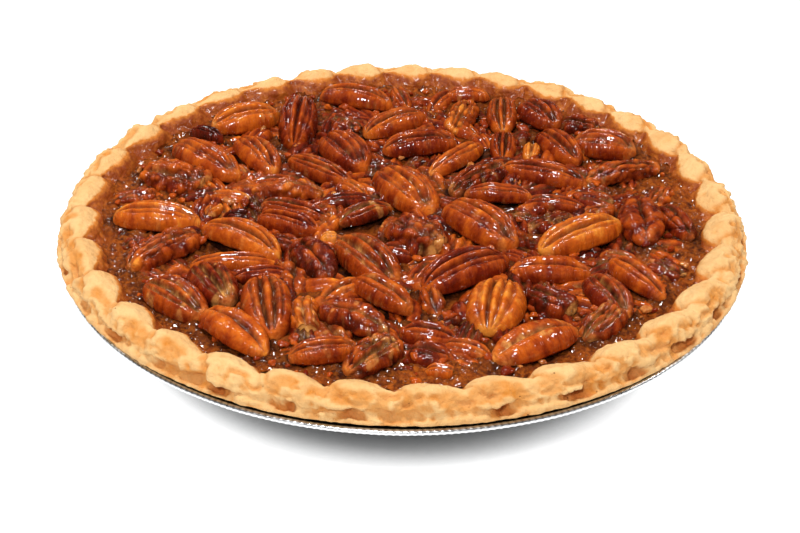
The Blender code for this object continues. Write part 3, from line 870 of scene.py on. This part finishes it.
# nuts mostly sunk in the syrup between the others; sizes in mm, angles in degrees
sunkenLook = {
    "segments": 28,
    "rings": 28,
    "count": 190,
    "tries": 5000,
    "apart": 6.8,
    "within": 91,
    "overlap": 2.2,  # how far its middle may lie inside another nut
    "length": (13, 22),
    "width": (8, 12.5),
    "height": 4.5,
    "crown": (0.6, 3.0),  # above the syrup
    "outerCrown": 0.6,  # as a share of that, outside a radius of 80
    "tone": (0.25, 0.7),
    "forms": ("back2", "back3", "cut2", "cut3"),
    "pales": (0.0, 0.2, 0.4),
    "crinkles": (0.2, 0.5, 0.8),
    "tilt": (6, 15),
}


def makeSunkenNuts(nutRows, material):
    look = sunkenLook
    chance = random.Random(77)
    rows = []
    for _ in range(look["tries"]):
        radius, angle = look["within"] * math.sqrt(chance.random()), chance.uniform(0, fullTurn)
        x, y = radius * math.cos(angle), radius * math.sin(angle)
        crowded = any(math.hypot(x - row["x"], y - row["y"]) < look["apart"] for row in rows)
        if crowded or len(rows) >= look["count"]:
            continue
        if nearNuts(np.array([[x, y]]), nutRows)[0] < -look["overlap"]:
            continue
        row = {"x": x, "y": y, "turn": chance.uniform(0, 360), "bend": 0.0, "height": look["height"]}
        row["length"] = min(chance.uniform(*look["length"]), 2 * (97 - radius))
        row["width"] = chance.uniform(*look["width"])
        row["form"] = chance.choice(look["forms"])
        row["tone"] = chance.uniform(*look["tone"])
        row["pale"] = chance.choice(look["pales"])
        row["crinkle"] = chance.choice(look["crinkles"])
        crown = chance.uniform(*look["crown"]) * (1 if radius < 80 else look["outerCrown"])
        row["top"] = fillingLook["top"] + crown
        row["pitch"], row["roll"] = (chance.uniform(-most, most) for most in look["tilt"])
        rows.append(row)
    nuts = makeNuts(rows, look, 400)
    for name, half in (("sunkenNutsA", nuts[0::2]), ("sunkenNutsB", nuts[1::2])):
        finishPiece(joinPieces(half, name), None, material)
    print("sunken nuts made:", len(rows))


crumbLook = {
    "count": 330,
    "within": 98,
    "radius": (0.6, 2.0),
    "flat": 0.6,
    "ragged": 0.75,
    "above": (0.25, 1.35),  # height of the middle over the syrup, mm
    "tone": (0.3, 0.66),
    "pales": (0, 0, 0, 0, 0, 0, 0.3, 0.5),
}


def makeCrumbs(material):
    look = crumbLook
    chance = random.Random(5)
    pieces = []
    for number in range(look["count"]):
        radius, angle = look["within"] * chance.random() ** 0.3, chance.uniform(0, fullTurn)
        size = chance.uniform(*look["radius"])
        bpy.ops.mesh.primitive_ico_sphere_add(subdivisions=3, radius=size * mm)
        crumb = bpy.context.object
        bpy.ops.object.shade_smooth()
        points = pointsOf(crumb) * np.array([1.0, chance.uniform(look["flat"], 1.0), look["flat"]])
        points *= (1 + look["ragged"] * lumps(points, 1.4 * size, 2, number))[:, None] / mm
        x, y = radius * math.cos(angle), radius * math.sin(angle)
        height = fillingLook["top"] + chance.uniform(*look["above"])
        movePoints(crumb, placeNut(points, x, y, height, chance.uniform(0, 360)))
        masks = {"tone": chance.uniform(*look["tone"]), "pale": chance.choice(look["pales"])}
        for label in ("tone", "groove", "pale", "along", "across"):
            paint(crumb, label, np.full(len(points), masks.get(label, 0.0)))
        pieces.append(crumb)
    finishPiece(joinPieces(pieces, "crumbs"), None, material)
    print("crumbs made:", len(pieces))


tinLook = {
    "steps": 1080,
    "ribs": 360,  # fine ribs round the lip
    "ribDepth": 0.12,
    "pleats": 84,  # creases of the sloping wall
    "pleatDepth": 0.35,
    "waves": 0.12,  # how unevenly the lip runs up and down, mm
    "edgeLine": {"radius": 113.52, "wide": 0.2, "dark": 0.9},  # painted shade: a dark line along the rolled edge
    "foil": (0.86, 0.87, 0.88, 1),
    "foilShadeColour": (22, 12, 8),
    "roughness": (0.24, 0.4),
    # radius and height along the section, mm
    "outside": (
        (0.0, 0.0), (40.0, 0.0), (65.0, 0.0), (75.5, 0.0), (77.0, 0.3), (79.0, 2.3), (84.0, 7.3),
        (90.0, 13.6), (96.0, 19.9), (101.0, 25.2), (103.4, 27.8), (105.5, 28.7), (110.0, 29.6),
    ),
    "lip": (
        (112.3, 29.75), (113.0, 29.5), (113.6, 29.7), (113.93, 30.15), (113.98, 30.5), (113.9, 30.85),
        (113.7, 31.1), (113.52, 31.2), (113.3, 31.32), (113.1, 31.4), (112.8, 31.38), (112.5, 31.25),
        (112.1, 30.85),
    ),
    "inside": (
        (111.0, 30.5), (106.5, 29.4), (103.2, 28.4), (99.8, 24.8), (94.5, 19.3), (89.5, 14.1), (83.0, 7.5),
        (78.2, 2.5), (76.3, 0.5), (65.0, 0.5), (40.0, 0.5), (0.0, 0.5),
    ),
}


def makeTin():
    look = tinLook
    section = list(look["outside"] + look["lip"] + look["inside"])
    tin = turnedPiece("foilTin", section, look["steps"])
    points = pointsOf(tin)
    radius = np.hypot(points[:, 0], points[:, 1]) / mm
    turn = np.arctan2(points[:, 1], points[:, 0])
    onLip = smoothStep(112.4, 113.6, radius)
    wave = np.cos(turn * look["ribs"])
    ribs = look["ribDepth"] * wave * onLip
    wall = smoothStep(76.5, 82, radius) * (1 - smoothStep(100, 104, radius))
    uneven = lumps(points, 14, 1, 3)
    pleats = look["pleatDepth"] * np.cos(turn * look["pleats"] + 1.5 * uneven) * wall
    scale = 1 + (ribs + pleats) / np.maximum(radius, 1)
    points[:, :2] *= scale[:, None]
    points[:, 2] += look["waves"] * mm * onLip * lumps(points, 18, 2, 4)
    movePoints(tin, points)
    height = points[:, 2] / mm
    # painted shade: dark on the flange in the gap under the crust, and a dark line along the rolled edge
    flange = height > np.interp(radius, (103, 106, 112), (28.0, 29.1, 30.3))
    gapShade = smoothStep(100, 103, radius) * flange * (1 - smoothStep(112.95, 113.25, radius))
    edge = look["edgeLine"]
    line = edge["dark"] * bell(radius - edge["radius"], edge["wide"]) * (height > 30.9)
    paint(tin, "foilShade", line * (0.6 + 0.4 * wave) + gapShade)
    finishPiece(tin, "pie_tin", foilMaterial())
    print("tin made:", len(tin.data.vertices), "points")


def foilMaterial():
    look = tinLook
    material, tree, shader = newMaterial("foil", Metallic=1.0)
    # painted shade on the flange and along the rolled edge
    colour = blendColour(tree, mask(tree, "foilShade"), look["foil"], screen(*look["foilShadeColour"]))
    tree.links.new(colour, shader.inputs["Base Color"])
    clouds = useGroup(tree, "mottle", Size=12.0, Low=0.3, High=0.7, Seed=12.0)
    setRoughness(tree, shader, clouds, *look["roughness"])
    dents = useGroup(tree, "relief", Coarse=6.0, Fine=0.8, Share=0.25, Seed=13.0)
    addBump(tree, shader, dents, 0.4, 0.5)
    return material


def readNuts():
    # where each nut lies and how high it is comes from its solid
    keys = ("turn", "length", "width", "form", "tone", "pale", "bend", "crinkle")
    rows = []
    for number, values in enumerate(pecanRows, 1):
        node = f"pecan_{number:02d}"
        low, high = np.array(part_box(node)) / mm
        row = dict(zip(keys, values), node=node, base=low[2], top=high[2])
        row["x"], row["y"] = (low[:2] + high[:2]) / 2
        row["rise"] = pecanLook["propped"].get(number, 0.0)
        rows.append(row)
    return rows


viewLook = {
    "lens": 60.1,
    "aim": (-0.7, -27.8, 30.0),
    "distance": 434.0,
    "elevation": 32.0,
    "roll": 0.67,
}


def makeCamera():
    look = viewLook
    camera = bpy.data.objects.new("camera", bpy.data.cameras.new("camera"))
    bpy.context.collection.objects.link(camera)
    camera.data.lens = look["lens"]
    camera.data.sensor_width = 36
    camera.data.clip_start = 0.01
    lean = math.radians(look["elevation"])
    back = Vector((0, -math.cos(lean), math.sin(lean)))
    camera.location = (Vector(look["aim"]) + look["distance"] * back) * mm
    lookDown = Euler((math.pi / 2 - lean, 0, 0)).to_matrix()
    level = Euler((0, 0, math.radians(look["roll"]))).to_matrix()
    camera.rotation_euler = (lookDown @ level).to_euler()
    bpy.context.scene.camera = camera


lampAim = (0, 0, 0.03)
# name: place in metres, size, watts, colour
lampLook = {
    "overhead": ((-0.05, 0.12, 0.85), (0.17, 0.17), 4.35, (1, 1, 1)),
    "leftLamp": ((-0.6, 0.1, 0.6), (0.1, 0.1), 1.2, (1, 0.98, 0.96)),
    "rightLamp": ((0.62, 0.0, 0.6), (0.1, 0.1), 1.5, (1, 0.98, 0.96)),
    "frontLamp": ((-0.15, -0.7, 0.7), (0.13, 0.13), 5.3, (1, 1, 1)),
    "backLamp": ((-0.15, 0.7, 0.5), (0.1, 0.05), 0.5, (1, 0.98, 0.96)),
}
# how bright the white room is to the camera, in reflections and as light
roomLook = {"seen": 1.0, "mirrored": 0.07, "light": 0.34}


def makeLights():
    for name, (place, size, watts, colour) in lampLook.items():
        data = bpy.data.lights.new(name, "AREA")
        data.shape = "ELLIPSE"
        data.size, data.size_y = size
        data.energy = watts
        data.color = colour
        lamp = bpy.data.objects.new(name, data)
        bpy.context.collection.objects.link(lamp)
        lamp.location = place
        lamp.rotation_euler = (Vector(lampAim) - Vector(place)).to_track_quat("-Z", "Y").to_euler()
    world = bpy.data.worlds.new("studio")
    bpy.context.scene.world = world
    world.use_nodes = True
    tree = world.node_tree
    path = addNode(tree, "ShaderNodeLightPath")
    glossy = addNode(tree, "ShaderNodeMix", data_type="FLOAT")
    glossy.inputs[2].default_value = roomLook["light"]
    glossy.inputs[3].default_value = roomLook["mirrored"]
    seen = addNode(tree, "ShaderNodeMix", data_type="FLOAT")
    seen.inputs[3].default_value = roomLook["seen"]
    tree.links.new(path.outputs["Is Glossy Ray"], glossy.inputs[0])
    tree.links.new(path.outputs["Is Camera Ray"], seen.inputs[0])
    tree.links.new(glossy.outputs[0], seen.inputs[2])
    tree.links.new(seen.outputs[0], tree.nodes["Background"].inputs["Strength"])
    tree.nodes["Background"].inputs["Color"].default_value = (1, 1, 1, 1)


floorLook = {
    "colour": (0.3, 0.3, 0.3, 1),
    "glow": 0.9,
    "shadowReach": 0.018,  # metres
    "open": (0.28, 0.66),  # how open to the room the floor is where the glow starts and where it is full
}


def makeFloor():
    bpy.ops.mesh.primitive_plane_add(size=8)
    floor = bpy.context.object
    floor.name = "floor"
    # lit from below like a light table, but for the narrow shadow where the tin stands
    look = floorLook
    material, tree, shader = newMaterial("paper", Roughness=0.9)
    shader.inputs["Base Color"].default_value = look["colour"]
    shader.inputs["Emission Color"].default_value = (1, 1, 1, 1)
    near = addNode(tree, "ShaderNodeAmbientOcclusion", samples=12)
    near.inputs["Distance"].default_value = look["shadowReach"]
    glow = addNode(tree, "ShaderNodeMapRange")
    glow.inputs["From Min"].default_value, glow.inputs["From Max"].default_value = look["open"]
    glow.inputs["To Max"].default_value = look["glow"]
    tree.links.new(near.outputs["AO"], glow.inputs["Value"])
    tree.links.new(glow.outputs[0], shader.inputs["Emission Strength"])
    floor.data.materials.append(material)


makeCamera()
makeFloor()
makeLights()
bpy.context.scene.view_settings.view_transform = "Standard"
nutRows = readNuts()
makeTin()
makeCrust()
makeFilling(nutRows)
pecanSkin = pecanMaterial()
makePecans(nutRows, pecanSkin)
makeLooseNuts(pecanSkin)
makeSunkenNuts(nutRows, pecanSkin)
makeCrumbs(pecanSkin)
